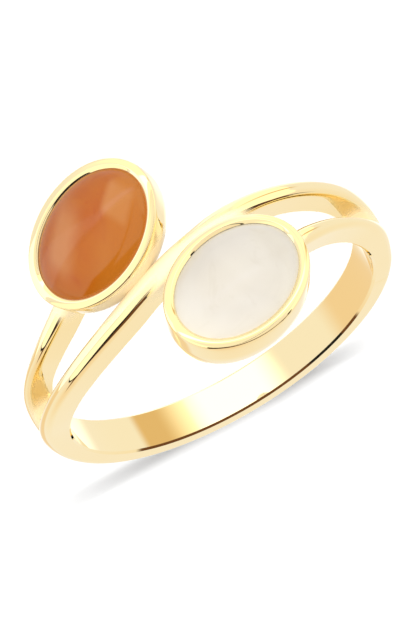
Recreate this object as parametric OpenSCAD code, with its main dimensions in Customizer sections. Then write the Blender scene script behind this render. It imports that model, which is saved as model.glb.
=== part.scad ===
// Ring with two oval moonstone cabochons, lying on its side.
// Millimetres, +Z up, the surface that it lies on at Z = 0.
//
// The ring is drawn flat first: the finger axis is Z and the head with the stones is +Y.
// A place along the band is an angle from the head (+Y) towards +X, and a height above
// the band is measured outwards from the wall of the finger hole.
// Half a turn about Y swaps the two sides, so one table serves both halves of the ring.

/* [Finger hole and shank] */
// Inside diameter of the finger hole, US size 7
hole_d = 17.3; // [16.5:0.1:18.5]
// Width of the shank along the finger
shank_w = 2.26; // [2:0.02:2.6]
// Height of the shank's flat side walls
shank_wall = 0.83; // [0.6:0.01:1]
// Thickness of the shank at its crown
shank_crown = 1.34; // [1.2:0.01:1.6]
// Angle from the head where the shank starts to open into strands
shoulder = 105; // [100:1:110]

/* [Crossing strand and side branches] */
// Thickness of the crossing strand at its crown, at the head
strand_crown = 1.65; // [1.5:0.01:1.8]
// Height of the crossing strand's side walls, at the head
strand_wall = 1.27; // [1:0.01:1.4]
// How square the domed sections are: 2 is an ellipse
dome_power = 2.3; // [2:0.1:3]

/* [Bezels] */
// Long half axis of the stone that shows inside a bezel's lip
open_a = 3.16; // [2.9:0.02:3.3]
// Short half axis of the stone that shows inside a bezel's lip
open_b = 2.34; // [2.1:0.02:2.5]
// Turn of the oval in its own plane, in degrees
oval_turn = 23.5; // [15:0.5:30]
// How far a bezel leans sideways round the finger, in degrees
lean_round = 12.6; // [8:0.1:16]
// How far a bezel leans back along the finger, in degrees
lean_along = -3.9; // [-8:0.1:0]
// Centre of the white stone's rim, towards the right of the ring
rim_x = 2.22; // [2:0.02:2.6]
// Centre of the white stone's rim, out from the finger axis
rim_y = 10.98; // [10.8:0.02:11.4]
// Centre of the white stone's rim, along the finger
rim_z = 2.83; // [2.6:0.02:3.1]

/* [Stones] */
// Share of the stone's half axes that shows inside the lip
lip_share = 0.93; // [0.9:0.01:0.96]
// Height of the dome from girdle to top
dome_h = 1.36; // [1.1:0.02:1.8]
// Depth of the stone below its girdle
base_h = 0.6; // [0.4:0.05:0.8]
// Clearance round each stone in its bezel
seat_gap = 0.04; // [0.03:0.01:0.08]

/* [Resting place] */
// Angle by which the finger axis leans off the vertical when the ring lies on its side
rest_lean = 13.59; // [13.4:0.01:13.8]
// Direction of the line that it leans about, from +X towards +Y
rest_line = 12.5; // [8:0.1:18]
// Shift that centres the lying ring, towards +Y
rest_y = -1.414; // [-1.6:0.001:-1.2]
// Lift that sets the lying ring on the surface
rest_z = 3.328; // [3.2:0.001:3.5]

/* [Hidden] */

hole_r = hole_d / 2;
half_w = shank_w / 2;
// Depth that the sections of the band and of the branches reach into the hole before it is
// cut, and the height of a branch's end faces above the wall of the hole
band_root = 0.35;
branch_root = 0.15;
end_lift = 0.1;
// Facets over one dome, degrees between two sections of a strand and of the shank, and
// facets round an oval
dome_n = 12;
step = 3;
shank_step = 5;
oval_n = 64;

// Columns of the two band tables
ANGLE = 0;
MID = 1;
HALF = 2;
WALL = 3;
CROWN = 4;

// Crossing strand, right half: angle, middle along the finger, half width, wall height, crown
STRAND = [
    [0, 0, 0.54, strand_wall, strand_crown],
    [8, -0.345, 0.52, strand_wall, strand_crown],
    [17, -0.735, 0.50, 1.25, 1.64],
    [28, -1.015, 0.45, 1.22, 1.62],
    [40, -1.14, 0.41, 1.18, 1.60],
    [52, -1.115, 0.385, 1.13, 1.57],
    [63, -1.01, 0.39, 1.06, 1.52],
    [75, -0.75, 0.50, 0.97, 1.45],
    [90, -0.225, 0.925, 0.87, 1.38],
    [shoulder, 0, half_w, shank_wall, shank_crown]
];

// Side branch that carries the white stone, from its bezel to where it sinks in the shank
BRANCH = [
    [22, 2.10, 0.50, 1.25, 1.62],
    [30, 1.735, 0.465, 1.22, 1.62],
    [38, 1.375, 0.425, 1.18, 1.60],
    [48, 1.095, 0.335, 1.14, 1.57],
    [57, 0.98, 0.26, 1.10, 1.54],
    [65, 0.905, 0.24, 1.04, 1.50],
    [75, 0.735, 0.385, 0.95, 1.43],
    [90, 0.22, 0.88, 0.84, 1.34],
    [102, 0.10, 0.90, 0.72, 1.22]
];

// Columns of the tables of ovals: how far out from the lip's opening, or what share of the
// stone's half axes, and the height above the lip's opening
SIZE = 0;
HEIGHT = 1;

// Outside of a bezel, from its floor up its wall and over its lip
BEZEL = [
    [0.34, -1.72],
    [0.48, -1.30],
    [0.56, -0.75],
    [0.57, -0.35],
    [0.52, -0.05],
    [0.40, 0.09],
    [0.14, 0.12],
    [-0.04, 0.00],
    [-0.60, -0.20]
];

// Girdle of the stone, below the lip's opening
stone_a = open_a / lip_share;
stone_b = open_b / lip_share;
girdle = -dome_h * sqrt(1 - lip_share * lip_share);

// Stone from its flat base up to near the top of its dome
base_share = 0.94;
wall_h = 0.15;
DOME_ANGLES = [15, 30, 45, 58, 70, 80];
STONE = concat(
    [
        [base_share, girdle - base_h],
        [1, girdle - wall_h],
        [1, girdle]
    ],
    [for (a = DOME_ANGLES) [cos(a), girdle + dome_h * sin(a)]]
);

// Value of one column of a band table at an angle, on a smooth curve through the rows
function row_below(t, a, i = 0) = i >= len(t) - 2 || t[i + 1][ANGLE] > a ? i : row_below(t, a, i + 1);
function slope(t, i, c) =
    let (lo = max(i - 1, 0), hi = min(i + 1, len(t) - 1))
    (t[hi][c] - t[lo][c]) / (t[hi][ANGLE] - t[lo][ANGLE]);
function on_curve(t, a, c) =
    let (
        i = row_below(t, a),
        gap = t[i + 1][ANGLE] - t[i][ANGLE],
        s = (a - t[i][ANGLE]) / gap
    )
    t[i][c] * (1 + 2 * s) * (1 - s) * (1 - s)
    + gap * slope(t, i, c) * s * (1 - s) * (1 - s)
    + t[i + 1][c] * s * s * (3 - 2 * s)
    - gap * slope(t, i + 1, c) * s * s * (1 - s);

// Row of the crossing strand at any angle: the left half is the right half turned over
function strand_row(a) = [
    a,
    sign(a) * on_curve(STRAND, abs(a), MID),
    on_curve(STRAND, abs(a), HALF),
    on_curve(STRAND, abs(a), WALL),
    on_curve(STRAND, abs(a), CROWN)
];
function branch_row(a) = [for (c = [ANGLE:CROWN]) c == ANGLE ? a : on_curve(BRANCH, a, c)];

// Domed section as [radius, place along the finger], from one foot over the crown to the other
function rounded(v) = sign(v) * pow(abs(v), 2 / dome_power);
function section(row, root) = concat(
    [[hole_r - root, row[MID] - row[HALF]]],
    [for (k = [0:dome_n])
        let (t = 180 * k / dome_n)
        [
            hole_r + row[WALL] + (row[CROWN] - row[WALL]) * rounded(sin(t)),
            row[MID] - row[HALF] * rounded(cos(t))
        ]
    ],
    [[hole_r - root, row[MID] + row[HALF]]]
);

// The two triangles between point k of one ring and the next point of the next ring
function pair(a, b, k, n) =
    let (next = (k + 1) % n)
    [[a + k, b + k, b + next], [a + k, b + next, a + next]];

// Faces over a stack of rings of n points each, closed by its own first ring or by end faces
function loop_faces(rings, n) = [
    for (i = [0:rings - 1], k = [0:n - 1], face = pair(i * n, (i + 1) % rings * n, k, n)) face
];
function stack_faces(rings, n) = concat(
    [[for (k = [0:n - 1]) k]],
    [for (i = [0:rings - 2], k = [0:n - 1], face = pair(i * n, (i + 1) * n, k, n)) face],
    [[for (k = [n - 1:-1:0]) (rings - 1) * n + k]]
);

// Points of the sections stood round the finger, each at its row's angle
function swept(rows, sections) = [
    for (i = [0:len(rows) - 1], p = sections[i])
        [p[0] * sin(rows[i][ANGLE]), p[0] * cos(rows[i][ANGLE]), p[1]]
];

// Shank and crossing strand, one closed sweep round the finger
module band() {
    rows = concat(
        [for (a = [-shoulder:step:shoulder]) strand_row(a)],
        [for (a = [shoulder + shank_step:shank_step:360 - shoulder - shank_step])
            [a, 0, half_w, shank_wall, shank_crown]
        ]
    );
    sections = [for (row = rows) section(row, band_root)];
    polyhedron(points = swept(rows, sections), faces = loop_faces(len(rows), len(sections[0])));
}

// Branch that leaves the shank beside the strand and ends under a bezel
module side_branch() {
    first = BRANCH[0][ANGLE];
    last = BRANCH[len(BRANCH) - 1][ANGLE];
    rows = [for (a = [first:step:last]) branch_row(a)];
    ends = len(rows) - 1;
    sections = [for (i = [0:ends])
        section(rows[i], i == 0 || i == ends ? -end_lift : branch_root)
    ];
    polyhedron(points = swept(rows, sections), faces = stack_faces(len(rows), len(sections[0])));
}

// Solid stacked from ovals, each given by its half axes and height
module ovals(rows) {
    polyhedron(
        points = [for (row = rows, k = [0:oval_n - 1])
            let (t = 360 * k / oval_n)
            [row[0] * cos(t), row[1] * sin(t), row[2]]
        ],
        faces = stack_faces(len(rows), oval_n)
    );
}

// Wall of the finger hole, with the seam of its round face turned to the back of the shank
module finger_hole() {
    rotate([0, 0, -90]) cylinder(r = hole_r, h = 4 * rim_z, center = true, $fn = 180);
}

// Moves a shape drawn on XY, long axis on X, to the white stone's rim
module at_rim() {
    translate([rim_x, rim_y, rim_z])
        rotate([lean_along, 0, 0])
            rotate([0, 0, -lean_round])
                rotate([0, oval_turn, 0])
                    rotate([-90, 0, 0])
                        children();
}

module other_side() {
    rotate([0, 180, 0]) children();
}

module both_sides() {
    children();
    other_side() children();
}

// Bezel cup, still solid
module bezel() {
    ovals([for (row = BEZEL) [open_a + row[SIZE], open_b + row[SIZE], row[HEIGHT]]]);
}

// Oval cabochon with a flat base, grown by a clearance where it stands for its seat
module cabochon(grow = 0) {
    ovals([for (row = STONE) [
        stone_a * row[SIZE] + grow,
        stone_b * row[SIZE] + grow,
        row[HEIGHT] + (row[HEIGHT] < girdle ? -grow : grow)
    ]]);
}

module laid_down() {
    translate([0, rest_y, rest_z])
        rotate(a = rest_lean, v = [cos(rest_line), sin(rest_line), 0])
            children();
}

// Band, branches and bezels, soldered into one piece
module gold_ring() {
    color("#e3c77a") laid_down() difference() {
        union() {
            band();
            both_sides() side_branch();
            both_sides() at_rim() bezel();
        }
        finger_hole();
        both_sides() at_rim() cabochon(seat_gap);
    }
}

module peach_moonstone() {
    color("#c0702c") laid_down() other_side() at_rim() cabochon();
}

module white_moonstone() {
    color("#ece6da") laid_down() at_rim() cabochon();
}

gold_ring();
peach_moonstone();
white_moonstone();
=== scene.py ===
import math

import bmesh
import bpy
from mathutils import Matrix, Vector
from mathutils.bvhtree import BVHTree


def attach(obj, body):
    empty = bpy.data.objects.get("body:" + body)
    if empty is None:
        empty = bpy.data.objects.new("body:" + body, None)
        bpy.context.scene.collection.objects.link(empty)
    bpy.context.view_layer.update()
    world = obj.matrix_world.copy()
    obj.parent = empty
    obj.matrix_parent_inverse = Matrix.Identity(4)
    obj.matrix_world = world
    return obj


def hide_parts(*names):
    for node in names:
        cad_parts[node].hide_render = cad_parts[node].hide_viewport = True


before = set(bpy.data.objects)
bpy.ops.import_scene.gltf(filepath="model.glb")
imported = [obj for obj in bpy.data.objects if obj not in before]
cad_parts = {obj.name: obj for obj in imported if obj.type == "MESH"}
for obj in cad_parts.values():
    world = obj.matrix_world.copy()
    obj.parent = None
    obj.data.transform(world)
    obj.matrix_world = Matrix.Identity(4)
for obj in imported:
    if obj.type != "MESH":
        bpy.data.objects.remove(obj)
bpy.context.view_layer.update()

# The photographer's camera
# A long lens looks down on the ring from beside its head, close enough to fill the frame.
# The camera is rolled over, which makes the lying ring seem to lean with its stones up.
CAMERA_PLACE = (0.00303, 0.06408, 0.05024)
CAMERA_AIM = (0.00029, -0.00080, 0.00250)
CAMERA_ROLL = 152.45
LENS = 91.4

camera_data = bpy.data.cameras.new("camera")
camera_data.sensor_fit = "VERTICAL"
camera_data.sensor_height = 36
camera_data.lens = LENS
camera_data.clip_start = 0.005
camera_data.clip_end = 5
camera = bpy.data.objects.new("camera", camera_data)
bpy.context.scene.collection.objects.link(camera)
look = (Vector(CAMERA_AIM) - Vector(CAMERA_PLACE)).to_track_quat("-Z", "Y").to_matrix().to_4x4()
roll = Matrix.Rotation(math.radians(CAMERA_ROLL), 4, "Z")
camera.matrix_world = Matrix.Translation(CAMERA_PLACE) @ look @ roll
bpy.context.scene.camera = camera


# Shank and crossing strand
# One half-round gold band goes right round the finger. At the shoulders it narrows into the
# strand that crosses the head between the two stones. It is cast, filed and polished.
# All of the metal is drawn flat, in millimetres, with the finger along Z and the head at +Y.
HOLE_R = 8.65
SHOULDER = 115
HALF_W = 1.117
DOME_POWER = 2.3
CORNER = 0.11
DOME_POINTS = 36
WALL_POINTS = 6
CORNER_POINTS = 1
# Angle from the head, middle along the finger, half width, side wall height, crown height
STRAND = (
    (0, 0, 0.54, 1.27, 1.65),
    (8, -0.345, 0.52, 1.27, 1.65),
    (17, -0.735, 0.50, 1.25, 1.64),
    (28, -1.015, 0.45, 1.22, 1.62),
    (40, -1.14, 0.41, 1.18, 1.60),
    (52, -1.115, 0.385, 1.13, 1.57),
    (63, -1.01, 0.39, 1.06, 1.52),
    (75, -0.75, 0.50, 0.97, 1.435),
    (90, -0.225, 0.925, 0.87, 1.35),
    (105, -0.012, 1.10, 0.832, 1.332),
    (SHOULDER, 0, HALF_W, 0.83, 1.33),
)
COLUMNS = ("angle", "middle", "half_width", "wall", "crown")


def on_curve(table, angle, column):
    i = max(k for k in range(len(table) - 1) if k == 0 or table[k][0] <= angle)
    gap = table[i + 1][0] - table[i][0]
    s = (angle - table[i][0]) / gap

    def slope(k):
        low = max(k - 1, 0)
        high = min(k + 1, len(table) - 1)
        return (table[high][column] - table[low][column]) / (table[high][0] - table[low][0])

    start = table[i][column] * (1 + 2 * s) * (1 - s) ** 2 + gap * slope(i) * s * (1 - s) ** 2
    end = table[i + 1][column] * s * s * (3 - 2 * s) - gap * slope(i + 1) * s * s * (1 - s)
    return start + end


def calc(tree, operation, *values):
    node = tree.nodes.new("ShaderNodeMath")
    node.operation = operation
    for socket, value in zip(node.inputs, values):
        if isinstance(value, bpy.types.NodeSocket):
            tree.links.new(value, socket)
        else:
            socket.default_value = value
    return node.outputs[0]


def add_node(tree, kind, links=(), **settings):
    node = tree.nodes.new(kind)
    for name, value in settings.items():
        setattr(node, name, value)
    for name, value in dict(links).items():
        if isinstance(value, bpy.types.NodeSocket):
            tree.links.new(value, node.inputs[name])
        else:
            node.inputs[name].default_value = value
    return node


def new_tree(name, inputs):
    tree = bpy.data.node_groups.new(name, "GeometryNodeTree")
    for label, kind in (("Guide", "Geometry"),) + inputs:
        tree.interface.new_socket(label, in_out="INPUT", socket_type="NodeSocket" + kind)
    tree.interface.new_socket("Piece", in_out="OUTPUT", socket_type="NodeSocketGeometry")
    return tree, tree.nodes.new("NodeGroupInput").outputs


def read(tree, name):
    return add_node(tree, "GeometryNodeInputNamedAttribute", {"Name": name}).outputs["Attribute"]


def sweep(tree, guide, across, count):
    line = add_node(tree, "GeometryNodeMeshLine", {"Count": count})
    number = tree.nodes.new("GeometryNodeInputIndex").outputs[0]
    stored = add_node(
        tree, "GeometryNodeStoreNamedAttribute",
        {"Geometry": line.outputs[0], "Name": across, "Value": number},
    )
    path = add_node(tree, "GeometryNodeMeshToCurve", {"Mesh": guide}).outputs[0]
    section = add_node(tree, "GeometryNodeMeshToCurve", {"Mesh": stored.outputs[0]}).outputs[0]
    closed = add_node(tree, "GeometryNodeSetSplineCyclic", {"Geometry": section, "Cyclic": True})
    return add_node(
        tree, "GeometryNodeCurveToMesh",
        {"Curve": path, "Profile Curve": closed.outputs[0], "Fill Caps": True},
    ).outputs[0]


def finish_tree(tree, mesh, x, y, z, material):
    place = add_node(tree, "ShaderNodeCombineXYZ", {"X": x, "Y": y, "Z": z}).outputs[0]
    moved = add_node(tree, "GeometryNodeSetPosition", {"Geometry": mesh, "Position": place})
    merged = add_node(
        tree, "GeometryNodeMergeByDistance",
        {"Geometry": moved.outputs[0], "Distance": 0.0001},
    )
    real = add_node(tree, "GeometryNodeRealizeInstances", {"Geometry": merged.outputs[0]})
    coated = add_node(
        tree, "GeometryNodeSetMaterial",
        {"Geometry": real.outputs[0], "Material": material},
    )
    out = tree.nodes.new("NodeGroupOutput")
    tree.links.new(coated.outputs[0], out.inputs[0])


strip_tree, strip_in = new_tree(
    "Half-round strip round the finger",
    (
        ("Hole radius", "Float"),
        ("Corner rounding", "Float"),
        ("Squareness of the dome", "Float"),
        ("Points over the dome", "Int"),
        ("Points up a wall", "Int"),
        ("Points round a corner", "Int"),
        ("Material", "Material"),
    ),
)
dome_points = strip_in["Points over the dome"]
wall_points = strip_in["Points up a wall"]
corner_points = strip_in["Points round a corner"]
corner = strip_in["Corner rounding"]
side_points = calc(strip_tree, "ADD", wall_points, corner_points)
count = calc(strip_tree, "ADD", calc(strip_tree, "MULTIPLY_ADD", side_points, 2, dome_points), 1)
strip = sweep(strip_tree, strip_in["Guide"], "over", count)
from_dome = calc(strip_tree, "SUBTRACT", read(strip_tree, "over"), side_points)
past_dome = calc(strip_tree, "MAXIMUM", calc(strip_tree, "SUBTRACT", from_dome, dome_points), 0)
before_dome = calc(strip_tree, "MAXIMUM", calc(strip_tree, "MULTIPLY", from_dome, -1), 0)
off_dome = calc(strip_tree, "ADD", past_dome, before_dome)
down_wall = calc(strip_tree, "MINIMUM", calc(strip_tree, "DIVIDE", off_dome, wall_points), 1)
off_wall = calc(strip_tree, "MAXIMUM", calc(strip_tree, "SUBTRACT", off_dome, wall_points), 0)
round_corner = calc(strip_tree, "DIVIDE", off_wall, corner_points)
corner_turn = calc(strip_tree, "MULTIPLY", round_corner, math.pi / 2)
over_dome = calc(strip_tree, "DIVIDE", from_dome, dome_points)
over_dome = calc(strip_tree, "MINIMUM", calc(strip_tree, "MAXIMUM", over_dome, 0), 1)
bend = calc(strip_tree, "MULTIPLY", over_dome, math.pi)
power = calc(strip_tree, "DIVIDE", 2, strip_in["Squareness of the dome"])
rise = calc(strip_tree, "POWER", calc(strip_tree, "MAXIMUM", calc(strip_tree, "SINE", bend), 0), power)
lean = calc(strip_tree, "COSINE", bend)
reach = calc(strip_tree, "POWER", calc(strip_tree, "ABSOLUTE", lean), power)
way = calc(strip_tree, "SIGN", lean)
dome = calc(strip_tree, "SUBTRACT", read(strip_tree, "crown"), read(strip_tree, "wall"))
height = calc(strip_tree, "MULTIPLY_ADD", dome, rise, read(strip_tree, "wall"))
fall = calc(strip_tree, "SUBTRACT", corner, read(strip_tree, "wall"))
height = calc(strip_tree, "MULTIPLY_ADD", fall, down_wall, height)
drop = calc(strip_tree, "MULTIPLY", corner, calc(strip_tree, "SINE", corner_turn))
radius = calc(strip_tree, "SUBTRACT", calc(strip_tree, "ADD", height, strip_in["Hole radius"]), drop)
tuck = calc(strip_tree, "SUBTRACT", 1, calc(strip_tree, "COSINE", corner_turn))
half = calc(strip_tree, "MULTIPLY", reach, read(strip_tree, "half_width"))
half = calc(strip_tree, "SUBTRACT", half, calc(strip_tree, "MULTIPLY", tuck, corner))
along = calc(strip_tree, "MULTIPLY", calc(strip_tree, "MULTIPLY", half, way), -1)
turn = calc(strip_tree, "RADIANS", read(strip_tree, "angle"))
finish_tree(
    strip_tree,
    strip,
    calc(strip_tree, "MULTIPLY", radius, calc(strip_tree, "SINE", turn)),
    calc(strip_tree, "MULTIPLY", radius, calc(strip_tree, "COSINE", turn)),
    calc(strip_tree, "ADD", along, read(strip_tree, "middle")),
    strip_in["Material"],
)


def made_by(tree, name, rows, columns, closed, **sizes):
    guide = bpy.data.meshes.new(name)
    edges = [(k, k + 1) for k in range(len(rows) - 1)] + ([(len(rows) - 1, 0)] if closed else [])
    guide.from_pydata([(k, 0, 0) for k in range(len(rows))], edges, [])
    for column, label in enumerate(columns):
        layer = guide.attributes.new(label, "FLOAT", "POINT")
        layer.data.foreach_set("value", [float(row[column]) for row in rows])
    obj = bpy.data.objects.new(name, guide)
    bpy.context.scene.collection.objects.link(obj)
    modifier = obj.modifiers.new(tree.name, "NODES")
    modifier.node_group = tree
    for item in tree.interface.items_tree:
        label = item.name.replace(" ", "_")
        if item.in_out == "INPUT" and label in sizes:
            modifier[item.identifier] = sizes[label]
    result = bpy.data.meshes.new_from_object(obj.evaluated_get(bpy.context.evaluated_depsgraph_get()))
    obj.modifiers.clear()
    for label in ("over", "round") + tuple(columns):
        if label in result.attributes:
            result.attributes.remove(result.attributes[label])
    form = bmesh.new()
    form.from_mesh(result)
    bmesh.ops.recalc_face_normals(form, faces=form.faces)
    if form.calc_volume(signed=True) < 0:
        bmesh.ops.reverse_faces(form, faces=form.faces)
    form.to_mesh(result)
    form.free()
    obj.data = result
    bpy.data.meshes.remove(guide)
    return obj


def strand_row(angle):
    values = [on_curve(STRAND, abs(angle), column) for column in range(1, 5)]
    return [angle, math.copysign(values[0], values[0] * angle)] + values[1:]


gold = bpy.data.materials.new("polished_gold")
strip_sizes = {
    "Corner_rounding": CORNER,
    "Squareness_of_the_dome": DOME_POWER,
    "Points_over_the_dome": DOME_POINTS,
    "Points_up_a_wall": WALL_POINTS,
    "Points_round_a_corner": CORNER_POINTS,
    "Material": gold,
}
band_rows = [strand_row(a) for a in range(-SHOULDER, SHOULDER + 1)]
band_rows += [[a, *STRAND[-1][1:]] for a in range(SHOULDER + 1, 360 - SHOULDER)]
band = made_by(strip_tree, "gold_ring_body", band_rows, COLUMNS, True, Hole_radius=HOLE_R, **strip_sizes)

# Side branches
# Each shoulder sends out one thinner half-round wire beside the strand. It sinks into the
# shank at one end, and its other end is soldered under a bezel.
BRANCH_LIFT = 0.02
BRANCH = (
    (22, 2.10, 0.50, 1.25, 1.62),
    (30, 1.735, 0.465, 1.22, 1.62),
    (38, 1.375, 0.425, 1.18, 1.60),
    (48, 1.095, 0.335, 1.14, 1.57),
    (57, 0.98, 0.26, 1.10, 1.54),
    (65, 0.905, 0.24, 1.04, 1.50),
    (75, 0.735, 0.385, 0.95, 1.43),
    (90, 0.22, 0.88, 0.84, 1.32),
    (98, 0.16, 0.945, 0.82, 1.31),
    (106, 0.09, 1.015, 0.81, 1.305),
    (116, 0.04, 1.05, 0.79, 1.29),
)
# The solder that fills the narrow end of the gap between strand and branch
WEB = (
    (74.5, 0.05, 0.42, 0.12, 0.09),
    (77, 0.05, 0.30, 0.62, 0.42),
    (80, 0.04, 0.22, 1.04, 0.88),
    (83, 0.03, 0.26, 1.26, 1.16),
    (87, 0.02, 0.28, 1.28, 1.22),
)
other_side = Matrix.Rotation(math.pi, 4, "Y")
branch_rows = [[a] + [on_curve(BRANCH, a, column) for column in range(1, 5)] for a in range(22, 117)]
web_rows = [[a / 2] + [on_curve(WEB, a / 2, column) for column in range(1, 5)] for a in range(149, 175)]
branches = []
webs = []
for place in (Matrix.Identity(4), other_side):
    for rows, made in ((branch_rows, branches), (web_rows, webs)):
        piece = made_by(
            strip_tree, "branch", rows, COLUMNS, False, Hole_radius=HOLE_R + BRANCH_LIFT, **strip_sizes
        )
        piece.data.transform(place)
        made.append(piece)

# Bezel cups
# Each stone sits in an oval cup of gold. The cup's wall bulges a little, and its lip is
# pushed over the edge of the stone and polished to a flat, bright rim.
OPEN_A = 3.16
OPEN_B = 2.34
OVAL_TURN = 23.5
LEAN_ROUND = 12.6
LEAN_ALONG = -3.9
RIM = (2.22, 10.98, 2.83)
# Distance out from the lip's opening, and height above it
BEZEL = (
    (0.335, -1.72),
    (0.412, -1.50),
    (0.468, -1.28),
    (0.51, -1.02),
    (0.52, -0.75),
    (0.525, -0.50),
    (0.525, -0.28),
    (0.52, -0.12),
    (0.505, -0.03),
    (0.475, 0.025),
    (0.42, 0.055),
    (0.34, 0.077),
    (0.26, 0.09),
    (0.20, 0.094),
    (0.15, 0.084),
    (0.08, 0.05),
    (0.02, 0.01),
    (-0.04, -0.03),
    (-0.60, -0.30),
)
OVAL_COLUMNS = ("half_x", "half_y", "height")

oval_tree, oval_in = new_tree(
    "Ovals one above another",
    (("Points round", "Int"), ("Material", "Material")),
)
wall = sweep(oval_tree, oval_in["Guide"], "round", oval_in["Points round"])
part_turn = calc(oval_tree, "DIVIDE", read(oval_tree, "round"), oval_in["Points round"])
turn = calc(oval_tree, "MULTIPLY", part_turn, 2 * math.pi)
finish_tree(
    oval_tree,
    wall,
    calc(oval_tree, "MULTIPLY", calc(oval_tree, "COSINE", turn), read(oval_tree, "half_x")),
    calc(oval_tree, "MULTIPLY", calc(oval_tree, "SINE", turn), read(oval_tree, "half_y")),
    read(oval_tree, "height"),
    oval_in["Material"],
)


def tilt(angle, axis):
    return Matrix.Rotation(math.radians(angle), 4, axis)


def smoothed(rows, parts):
    fine = []
    for i in range(len(rows) - 1):
        before = rows[max(i - 1, 0)]
        after = rows[min(i + 2, len(rows) - 1)]
        for k in range(parts):
            s = k / parts
            point = []
            for a, b, c, d in zip(before, rows[i], rows[i + 1], after):
                bow = s * (c - a + s * (2 * a - 5 * b + 4 * c - d + s * (3 * (b - c) + d - a)))
                point.append(b + 0.5 * bow)
            fine.append(point)
    return fine + [list(rows[-1])]


at_rim = (
    Matrix.Translation(RIM) @ tilt(LEAN_ALONG, "X") @ tilt(-LEAN_ROUND, "Z")
    @ tilt(OVAL_TURN, "Y") @ tilt(-90, "X")
)
bezel_rows = [(OPEN_A + out, OPEN_B + out, up) for out, up in smoothed(BEZEL[:-1], 3) + [BEZEL[-1]]]
bezels = []
for place in (at_rim, other_side @ at_rim):
    bezel = made_by(oval_tree, "bezel", bezel_rows, OVAL_COLUMNS, False, Points_round=180, Material=gold)
    bezel.data.transform(place)
    bezels.append(bezel)

# Stones' shape
# Both stones are oval cabochons cut to the same gauge: a flat base, a short straight girdle
# under the lip, and a polished dome.
LIP_SHARE = 0.93
DOME_H = 1.36
BASE_H = 0.6
BASE_SHARE = 0.94
WALL_H = 0.15
SEAT_GAP = 0.012
girdle = -DOME_H * math.sqrt(1 - LIP_SHARE ** 2)
stone_a = OPEN_A / LIP_SHARE
stone_b = OPEN_B / LIP_SHARE


def cabochon(name, grow, material):
    base = girdle - BASE_H
    rows = [(0.0, base), (0.90, base), (BASE_SHARE, base), (1, girdle - WALL_H)]
    for k in range(46):
        angle = math.radians(2 * k)
        rows.append((math.cos(angle), girdle + DOME_H * math.sin(angle)))
    rows = [
        (
            (stone_a * share + grow) * (share > 0.001),
            (stone_b * share + grow) * (share > 0.001),
            height + (grow if height >= girdle else -grow),
        )
        for share, height in rows
    ]
    stone = made_by(oval_tree, name, rows, OVAL_COLUMNS, False, Points_round=180, Material=material)
    places = [part for vertex in stone.data.vertices for part in vertex.co]
    stone.data.attributes.new("in_stone", "FLOAT_VECTOR", "POINT").data.foreach_set("vector", places)
    return stone


# Soldering the ring into one piece
# The branches and bezels are soldered to the band, and each cup gets its seat. The solder
# is paler than the gold, and the buff doesn't reach it in the narrow corners. Its colour
# follows how shut in each point is, so it is partly solder and partly painted shade.
bpy.ops.mesh.primitive_cylinder_add(vertices=360, radius=HOLE_R + 0.01, depth=12)
finger_hole = bpy.context.object


def cut(piece, tools, operation):
    for tool in tools:
        step = piece.modifiers.new("cut", "BOOLEAN")
        step.operation = operation
        step.solver = "MANIFOLD"
        step.object = tool
    mesh = bpy.data.meshes.new_from_object(piece.evaluated_get(bpy.context.evaluated_depsgraph_get()))
    piece.modifiers.clear()
    piece.data = mesh


seats = []
for place in (at_rim, other_side @ at_rim):
    seat = cabochon("seat", SEAT_GAP, gold)
    seat.data.transform(place)
    seats.append(seat)
for bezel in bezels:
    cut(bezel, [finger_hole], "DIFFERENCE")
cut(band, branches + webs + bezels, "UNION")
cut(band, seats, "DIFFERENCE")
for tool in branches + webs + bezels + seats + [finger_hole]:
    bpy.data.objects.remove(tool)

form = bmesh.new()
form.from_mesh(band.data)
bmesh.ops.remove_doubles(form, verts=form.verts, dist=0.0005)
bmesh.ops.dissolve_degenerate(form, edges=form.edges, dist=0.0003)
bmesh.ops.triangulate(form, faces=[face for face in form.faces if len(face.verts) > 4])
form.normal_update()
for face in form.faces:
    face.smooth = True
for edge in form.edges:
    edge.smooth = edge.calc_face_angle(0) < math.radians(38)
# How far the other walls close in on each point, from 0 in the open to 1 in a narrow corner.
# The inside of the head is left pale and satin.
LOOK_OUT = 1.3
FEELERS = 32
FULLY_SHUT_IN = 6
HEAD_STARTS = 6.5
feelers = []
for k in range(FEELERS):
    up = 1 - (2 * k + 1) / FEELERS
    flat = math.sqrt(1 - up * up)
    feelers.append(Vector((flat * math.cos(2.4 * k), flat * math.sin(2.4 * k), up)))
form.verts.index_update()
surface = BVHTree.FromBMesh(form)
shut_in = []
satin = []
for vertex in form.verts:
    start = vertex.co + vertex.normal * 0.01
    met = 0
    for feeler in feelers:
        if feeler.dot(vertex.normal) > 0.2:
            distance = surface.ray_cast(start, feeler, LOOK_OUT)[3]
            if distance is not None:
                met += 1 - distance / LOOK_OUT
    shut_in.append(min(met / FULLY_SHUT_IN, 1))
    inward = -vertex.normal.xy.dot(vertex.co.xy.normalized())
    satin.append(float(inward > 0.5 and vertex.co.y > HEAD_STARTS))
# The solder runs out evenly, so each point takes the mean of its neighbours a few times
for _ in range(4):
    evened = []
    for vertex in form.verts:
        near = [shut_in[edge.other_vert(vertex).index] for edge in vertex.link_edges]
        evened.append((shut_in[vertex.index] + sum(near)) / (1 + len(near)))
    shut_in = evened
form.to_mesh(band.data)
form.free()
band.data.attributes.new("shut_in", "FLOAT", "POINT").data.foreach_set("value", shut_in)
band.data.attributes.new("satin", "FLOAT", "POINT").data.foreach_set("value", satin)

# The ring lies on its side, on the shank and the lower bezel, and is drawn in metres from here on
REST_PLACE = (0, -1.414, 3.328)
REST_LEAN = 13.59
REST_LINE = math.radians(12.5)
rest_axis = Vector((math.cos(REST_LINE), math.sin(REST_LINE), 0))
lie_down = Matrix.Scale(0.001, 4) @ Matrix.Translation(REST_PLACE) @ tilt(REST_LEAN, rest_axis)
band.data.transform(lie_down)
band.data.materials.clear()
band.data.materials.append(gold)

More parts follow.
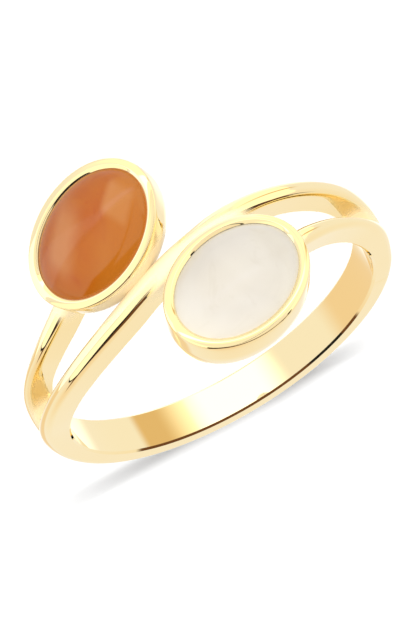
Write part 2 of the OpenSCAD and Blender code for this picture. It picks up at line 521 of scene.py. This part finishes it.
gold.use_nodes = True
tree = gold.node_tree
shader = tree.nodes["Principled BSDF"]
corner = add_node(tree, "ShaderNodeAttribute", attribute_name="shut_in").outputs["Fac"]
inside = add_node(tree, "ShaderNodeAttribute", attribute_name="satin").outputs["Fac"]
# Solder and painted shade: a duller, darker colour where the other walls close in
solder_and_shade = add_node(
    tree, "ShaderNodeMapRange", {"Value": corner, "From Min": 0.02, "From Max": 0.25}
).outputs[0]
dull = calc(tree, "MAXIMUM", solder_and_shade, inside)
# The buff leaves the polish a little uneven
polish = add_node(
    tree, "ShaderNodeTexNoise",
    {"Vector": tree.nodes.new("ShaderNodeTexCoord").outputs["Object"], "Scale": 700, "Detail": 2},
).outputs["Fac"]
polish = calc(tree, "MULTIPLY_ADD", polish, 0.03, 0.01)
tree.links.new(calc(tree, "MULTIPLY_ADD", dull, 0.3, polish), shader.inputs["Roughness"])
tree.links.new(calc(tree, "MULTIPLY_ADD", solder_and_shade, -0.85, 1), shader.inputs["Metallic"])
YELLOW_GOLD = (0.97, 0.84, 0.52)
SOLDER_AND_SHADE = (0.82, 0.69, 0.45)
SATIN_GOLD = (0.985, 0.95, 0.86)
# The solder colour doubles as painted shade in the corners
tint = add_node(tree, "ShaderNodeMix", {0: solder_and_shade}, data_type="RGBA")
tint.inputs[6].default_value = (*YELLOW_GOLD, 1)
tint.inputs[7].default_value = (*SOLDER_AND_SHADE, 1)
pale = add_node(tree, "ShaderNodeMix", {0: inside}, data_type="RGBA")
tree.links.new(tint.outputs[2], pale.inputs[6])
pale.inputs[7].default_value = (*SATIN_GOLD, 1)
tree.links.new(pale.outputs[2], shader.inputs["Base Color"])
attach(band, "root")
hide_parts("gold_ring")

# Peach moonstone
# The left stone is an orange-brown moonstone. It is cut from a cloudy feldspar, and its
# polished dome shows paler clouds and darker veils below the surface.
def fade(tree, value, start, end):
    return add_node(
        tree, "ShaderNodeMapRange", {"Value": value, "From Min": start, "From Max": end},
        interpolation_type="SMOOTHSTEP",
    ).outputs[0]


clouds = bpy.data.node_groups.new("clouds in the stone", "ShaderNodeTree")
for label in ("Cloud", "Veil", "Edge"):
    clouds.interface.new_socket(label, in_out="OUTPUT", socket_type="NodeSocketFloat")
clouds.interface.new_socket("Size", in_out="INPUT", socket_type="NodeSocketFloat")
group_in = clouds.nodes.new("NodeGroupInput")
group_out = clouds.nodes.new("NodeGroupOutput")
in_stone = add_node(clouds, "ShaderNodeAttribute", attribute_name="in_stone").outputs["Vector"]
cloud = add_node(
    clouds, "ShaderNodeTexNoise",
    {"Vector": in_stone, "Scale": group_in.outputs["Size"], "Detail": 3, "Distortion": 0.8},
)
finer = calc(clouds, "MULTIPLY", group_in.outputs["Size"], 2.2)
veil = add_node(
    clouds, "ShaderNodeTexNoise",
    {"Vector": in_stone, "Scale": finer, "Detail": 4, "Distortion": 2.5},
)
clouds.links.new(fade(clouds, cloud.outputs["Fac"], 0.38, 0.66), group_out.inputs["Cloud"])
clouds.links.new(fade(clouds, veil.outputs["Fac"], 0.52, 0.70), group_out.inputs["Veil"])
# The thin edge of the dome lets more light through, painted here as a lighter colour towards the girdle
height = add_node(clouds, "ShaderNodeSeparateXYZ", {"Vector": in_stone}).outputs["Z"]
thin_edge_glow = add_node(clouds, "ShaderNodeMapRange", {"Value": height, "From Min": 0.55, "From Max": 0.0})
clouds.links.new(thin_edge_glow.outputs[0], group_out.inputs["Edge"])


def stone_material(name, size, body, paler, darker, edge, veiled):
    material = bpy.data.materials.new(name)
    material.use_nodes = True
    tree = material.node_tree
    shader = tree.nodes["Principled BSDF"]
    inside = add_node(tree, "ShaderNodeGroup", node_tree=clouds)
    inside.inputs["Size"].default_value = size
    colour = add_node(tree, "ShaderNodeMix", {0: inside.outputs["Cloud"]}, data_type="RGBA")
    colour.inputs[6].default_value = (*body, 1)
    colour.inputs[7].default_value = (*paler, 1)
    share = calc(tree, "MULTIPLY", inside.outputs["Veil"], veiled)
    veins = add_node(tree, "ShaderNodeMix", {0: share}, data_type="RGBA")
    tree.links.new(colour.outputs[2], veins.inputs[6])
    veins.inputs[7].default_value = (*darker, 1)
    # Painted glow: the edge colour stands in for light coming through the thin edge
    edge_glow_colour = add_node(tree, "ShaderNodeMix", {0: inside.outputs["Edge"]}, data_type="RGBA")
    tree.links.new(veins.outputs[2], edge_glow_colour.inputs[6])
    edge_glow_colour.inputs[7].default_value = (*edge, 1)
    tree.links.new(edge_glow_colour.outputs[2], shader.inputs["Base Color"])
    shader.inputs["Roughness"].default_value = 0.12
    shader.inputs["IOR"].default_value = 1.53
    return material, tree, shader, edge_glow_colour


peach, tree, shader, edge_glow_colour = stone_material(
    "peach_moonstone", size=0.22, veiled=0.7,
    body=(0.295, 0.06, 0.0), paler=(0.31, 0.08, 0.0), darker=(0.27, 0.045, 0.0), edge=(0.32, 0.085, 0.005),
)
# Two paler patches lie one at each end of the stone: painted reflections of the studio.
# One long side is painted lighter and more golden, as painted light.
x, y, z = add_node(
    tree, "ShaderNodeSeparateXYZ",
    {"Vector": add_node(tree, "ShaderNodeAttribute", attribute_name="in_stone").outputs["Vector"]},
).outputs
side = calc(tree, "SUBTRACT", y, calc(tree, "MULTIPLY", x, 0.42))


def all_of(tree, *masks):
    product = masks[0]
    for mask in masks[1:]:
        product = calc(tree, "MULTIPLY", product, mask)
    return product


def between(tree, value, start, full, full_end, end):
    return all_of(tree, fade(tree, value, start, full), fade(tree, value, end, full_end))


# Painted reflections: a paler patch at each end of the stone
first_painted_reflection = all_of(tree, between(tree, side, -2.1, -1.3, -0.9, 0.1), between(tree, x, -1.2, 0.3, 1.7, 2.7))
second_painted_reflection = all_of(tree, between(tree, side, 0.45, 0.9, 1.8, 2.15), between(tree, x, -2.8, -2.3, -1.4, -0.9))
PAINTED_REFLECTION = (0.35, 0.125, 0.035)
PAINTED_LIT_SIDE_GOLD = (0.34, 0.115, 0.012)
pale = add_node(tree, "ShaderNodeMix", {0: calc(tree, "ADD", first_painted_reflection, second_painted_reflection)}, data_type="RGBA")
tree.links.new(edge_glow_colour.outputs[2], pale.inputs[6])
pale.inputs[7].default_value = (*PAINTED_REFLECTION, 1)
# Painted light: one long side is made lighter and more golden
painted_lit_side = all_of(tree, fade(tree, side, 0.3, 1.5), 0.5)
lit_side_colour = add_node(tree, "ShaderNodeMix", {0: painted_lit_side}, data_type="RGBA")
tree.links.new(lit_side_colour.outputs[2], shader.inputs["Base Color"])
tree.links.new(pale.outputs[2], lit_side_colour.inputs[6])
lit_side_colour.inputs[7].default_value = (*PAINTED_LIT_SIDE_GOLD, 1)
peach_stone = cabochon("peach_stone", 0, peach)
peach_stone.data.transform(lie_down @ other_side @ at_rim)
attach(peach_stone, "root")
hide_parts("peach_moonstone")

# White moonstone
# The right stone is a milky white moonstone of the same cut. Its body scatters the light,
# so the polish shows only as a faint sheen.
white = stone_material(
    "white_moonstone", size=0.2, veiled=0.6,
    body=(0.465, 0.43, 0.375), paler=(0.49, 0.46, 0.41), darker=(0.44, 0.40, 0.34), edge=(0.55, 0.51, 0.435),
)[0]
white_stone = cabochon("white_stone", 0, white)
white_stone.data.transform(lie_down @ at_rim)
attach(white_stone, "root")
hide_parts("white_moonstone")
for stone in (peach_stone, white_stone):
    for face in stone.data.polygons:
        face.use_smooth = True

# Table top
# A plain white board carries the ring and runs out of sight on all sides.
bpy.ops.mesh.primitive_plane_add(size=3)
board = bpy.context.object
board.name = "board"
paint = bpy.data.materials.new("white_board")
paint.use_nodes = True
shader = paint.node_tree.nodes["Principled BSDF"]
shader.inputs["Base Color"].default_value = (0.9, 0.9, 0.9, 1)
shader.inputs["Roughness"].default_value = 0.9
board.data.materials.append(paint)
board.visible_glossy = False

# Studio light
# White and warm cards stand round the ring, placed for this one view. Only reflections
# see them. The two pale lemon panels beside the camera hang in black frames, which draw the
# fine dark lines in the gold.
world = bpy.data.worlds.new("tent")
bpy.context.scene.world = world
world.use_nodes = True
tree = world.node_tree
back = tree.nodes["Background"]
direction = tree.nodes.new("ShaderNodeTexCoord").outputs["Generated"]
way = add_node(tree, "ShaderNodeSeparateXYZ", {"Vector": direction})
x, y, z = way.outputs
# Degrees round from +X and from -X, and degrees above the table
round_front = calc(tree, "DEGREES", calc(tree, "ARCTAN2", y, x))
to_back = [calc(tree, "MULTIPLY", part, -1) for part in (y, x)]
round_back = calc(tree, "DEGREES", calc(tree, "ARCTAN2", *to_back))
above = calc(tree, "DEGREES", calc(tree, "ARCSINE", z))


def soft(value, start, end):
    return fade(tree, value, start, end)


def both(*masks):
    return all_of(tree, *masks)


def window(value, *edges):
    return between(tree, value, *edges)


def line(value, against, start, slope):
    return calc(tree, "SUBTRACT", value, calc(tree, "MULTIPLY_ADD", against, slope, start))


def lay(under, colour, mask):
    card = add_node(tree, "ShaderNodeMix", data_type="RGBA")
    tree.links.new(mask, card.inputs[0])
    if isinstance(under, tuple):
        card.inputs[6].default_value = (*under, 1)
    else:
        tree.links.new(under, card.inputs[6])
    card.inputs[7].default_value = (*colour, 1)
    return card.outputs[2]


WARM_WHITE = (0.985, 0.95, 0.92)
TAN = (0.98, 0.89, 0.76)
DEEP_TAN = (0.96, 0.79, 0.60)
GOLDEN = (0.93, 0.74, 0.52)
AMBER = (0.80, 0.56, 0.28)
LEMON = (1.36, 1.28, 0.98)
BRIGHT = (1.3, 1.3, 1.32)
BRIGHT_ROSE = (1.25, 1.2, 1.2)
BRIGHTEST = (1.8, 1.8, 1.85)
BLACK = (0.02, 0.02, 0.02)
DARK_STUDIO = (0.16, 0.07, 0.03)
# The tent's roof and the warm card behind the ring
seen = lay(WARM_WHITE, TAN, soft(above, -10, 40))
seen = lay(seen, DEEP_TAN, both(window(round_back, -10, 45, 55, 110), soft(above, 10, 40)))
# White, lemon and golden cards that the shank and the rims reflect. They lie mostly below the
# level of the board, which reflections pass through.
seen = lay(seen, BRIGHT, both(window(round_front, -90, -70, 75, 95), soft(above, -48, -60)))
left_back = window(round_front, -122, -92, -58, -40)
seen = lay(seen, BRIGHT, both(left_back, window(above, -50, -34, -30, -14)))
right_back = window(round_front, 40, 62, 98, 122)
seen = lay(seen, LEMON, both(right_back, window(above, -50, -30, 1, 7)))
level = line(above, round_front, -16.4, 0.105)
seen = lay(seen, BRIGHTEST, both(right_back, window(level, -4, -2.5, 2.5, 4)))
seen = lay(seen, BRIGHT_ROSE, both(window(round_front, 10, 25, 50, 70), soft(above, -30, -38)))
seen = lay(seen, GOLDEN, both(window(round_back, -25, -5, 60, 80), window(above, -36, -30, -14, -6)))
# The right panel, measured on a plane that faces it, with its frame along the top
PANEL_TURN = math.radians(15)
aside = calc(tree, "MULTIPLY", y, math.cos(PANEL_TURN))
aside = calc(tree, "MULTIPLY_ADD", x, math.sin(PANEL_TURN), aside)
facing = calc(tree, "MULTIPLY", y, -math.sin(PANEL_TURN))
facing = calc(tree, "MULTIPLY_ADD", x, math.cos(PANEL_TURN), facing)
ahead = calc(tree, "MAXIMUM", facing, 0.02)
across = calc(tree, "DIVIDE", aside, ahead)
tall = calc(tree, "DIVIDE", z, ahead)
top = line(tall, across, 0.80, -0.10)
shown = soft(facing, 0.02, 0.1)
slant = calc(tree, "MAXIMUM", line(across, tall, 0.40, -0.65), line(across, tall, 0.475, 0))
face = both(shown, soft(top, -0.03, -0.05), soft(slant, 0, 0.03))
face = both(face, window(tall, -2.6, -2.0, 8, 9), soft(across, 2.2, 1.7))
seen = lay(seen, LEMON, face)
# A slanted amber card, below the level of the board too, makes the amber band in the shank
slanted = line(above, round_front, -25, 0.26)
seen = lay(seen, AMBER, both(window(round_front, 4, 12, 25, 52), window(slanted, -4, -2, 2, 4)))
top_bar = both(window(top, -0.05, -0.03, 0.08, 0.12), window(across, -0.75, -0.55, 0.95, 1.15))
seen = lay(seen, BLACK, both(shown, top_bar))
# The left panel bends round over the ring, so it is measured on a plane overhead
roof = calc(tree, "MAXIMUM", z, 0.02)
over_x = calc(tree, "DIVIDE", x, roof)
over_y = calc(tree, "DIVIDE", y, roof)
lifted = soft(z, 0.02, 0.06)
# The dark studio shows through a curved gap in the roof. The bevels of the finger hole reflect it.
curve = calc(tree, "MULTIPLY_ADD", calc(tree, "MULTIPLY", over_x, over_x), 0.5, over_y)
gap = both(lifted, window(over_x, -1.3, -1.15, 1.25, 1.4), window(curve, -0.25, -0.17, 0.45, 0.55))
seen = lay(seen, DARK_STUDIO, gap)
edge = line(over_y, over_x, 0.70, 1.5)
end = line(over_y, over_x, -0.50, -0.18)
minus_x = calc(tree, "MULTIPLY", over_x, -1)
inner = calc(tree, "MAXIMUM", line(over_y, over_x, 0.82, 0.33), line(minus_x, over_y, 0.90, -0.39))
outer = calc(tree, "MAXIMUM", line(over_y, over_x, 0.24, 0.25), line(minus_x, over_y, 0.36, -0.37))
panel = both(soft(edge, 0.05, 0.12), soft(inner, 0, 0.05), soft(end, 0, 0.05))
frame_ring = both(soft(edge, -0.10, -0.03), soft(outer, 0, 0.10), soft(end, -0.12, -0.05))
# The left panel is brighter on its far side
panel_face = lay((1.05, 0.99, 0.86), (1.30, 1.26, 1.02), soft(x, 0, -0.3))
seen = lay(seen, BLACK, both(lifted, frame_ring))
hung = add_node(tree, "ShaderNodeMix", data_type="RGBA")
tree.links.new(both(lifted, panel), hung.inputs[0])
tree.links.new(seen, hung.inputs[6])
tree.links.new(panel_face, hung.inputs[7])
tree.links.new(hung.outputs[2], back.inputs["Color"])

# Diffuse surfaces and the camera see an even white tent instead
even = add_node(tree, "ShaderNodeBackground", {"Color": (1, 1, 1, 1), "Strength": 0.42})
rays = tree.nodes.new("ShaderNodeLightPath")
choice = add_node(
    tree, "ShaderNodeMixShader",
    {0: rays.outputs["Is Glossy Ray"], 1: even.outputs[0], 2: back.outputs[0]},
)
tree.links.new(choice.outputs[0], tree.nodes["World Output"].inputs["Surface"])

# A small white card lies on the table close to the ring's left side. Only reflections see it.
CARD = ((-10.5, 7), (-30, 3), (-80, 20), (-60, 90), (-5, 40), (-8, 12))
sheet = bpy.data.meshes.new("table_card")
sheet.from_pydata([(a / 1000, b / 1000, 0.00001) for a, b in CARD], [], [range(len(CARD))])
card = bpy.data.objects.new("table_card", sheet)
bpy.context.scene.collection.objects.link(card)
glow = bpy.data.materials.new("white_card")
glow.use_nodes = True
shader = glow.node_tree.nodes["Principled BSDF"]
shader.inputs["Base Color"].default_value = (0, 0, 0, 1)
shader.inputs["Emission Color"].default_value = (1, 1, 1, 1)
shader.inputs["Emission Strength"].default_value = 1.28
sheet.materials.append(glow)
card.visible_camera = False
card.visible_diffuse = False
card.visible_shadow = False

# The key lamp stands behind the camera, and reflections don't see it
KEY_FROM = Vector((0.003, 0.064, 0.050))
sun = bpy.data.lights.new("key", "SUN")
sun.energy = 4.2
sun.angle = math.radians(1.4)
key = bpy.data.objects.new("key", sun)
key.matrix_world = KEY_FROM.to_track_quat("Z", "Y").to_matrix().to_4x4()
key.visible_glossy = False
bpy.context.scene.collection.objects.link(key)

# A narrow flag in front of it makes the streak of shadow on the board, which lies beside the
# shank in this view. Nothing else blocks the key, not even the ring, which casts no shadow
# from it, so the board stays white inside the ring.
FLAG_HEIGHT = 0.030
FLAG = ((-11.8, 24.7), (-5, 24.05), (3, 23.75), (9.4, 24.5), (3, 25.7), (-4, 25.3))
flag_sheet = bpy.data.meshes.new("flag")
flag_sheet.from_pydata([(a / 1000, b / 1000, FLAG_HEIGHT) for a, b in FLAG], [], [range(len(FLAG))])
flag = bpy.data.objects.new("flag", flag_sheet)
bpy.context.scene.collection.objects.link(flag)
flag_sheet.materials.append(paint)
flag.visible_camera = False
flag.visible_diffuse = False
flag.visible_glossy = False
blocker = bpy.data.collections.new("blocks the key")
blocker.objects.link(flag)
key.light_linking.blocker_collection = blocker
bpy.context.scene.view_settings.view_transform = "Standard"
